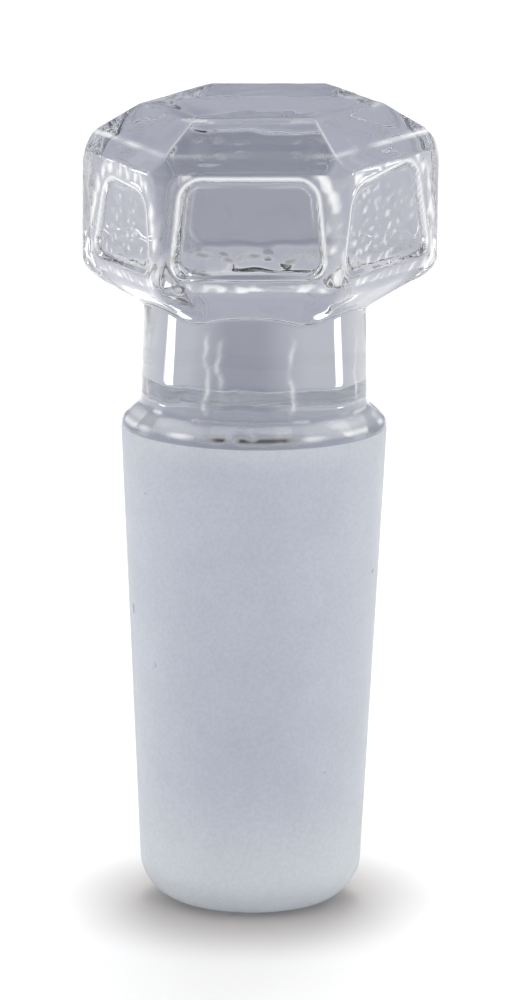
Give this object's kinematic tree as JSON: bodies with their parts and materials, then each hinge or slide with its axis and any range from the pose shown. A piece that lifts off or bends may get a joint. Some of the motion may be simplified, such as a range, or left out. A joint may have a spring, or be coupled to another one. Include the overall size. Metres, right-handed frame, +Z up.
{
  "type": "glass stopper",
  "caption": "Solid glass stopper with a ground tapered plug, a clear neck and a faceted grip head.",
  "frame": {"origin": "centre of the flat foot of the ground cone, which is the lowest face", "axes": "+Z up the axis of the cone and the neck to the top of the head, -Y square to one flat of the head"},
  "size_m": [0.0194, 0.0174, 0.0447],
  "materials": {
    "clear_glass": "clear polished glass on the head, neck and shoulder",
    "ground_glass": "fine matt grinding on the cone and its foot"
  },
  "bodies": {
    "root": {"stopper": "clear_glass"}
  },
  "joints": []
}
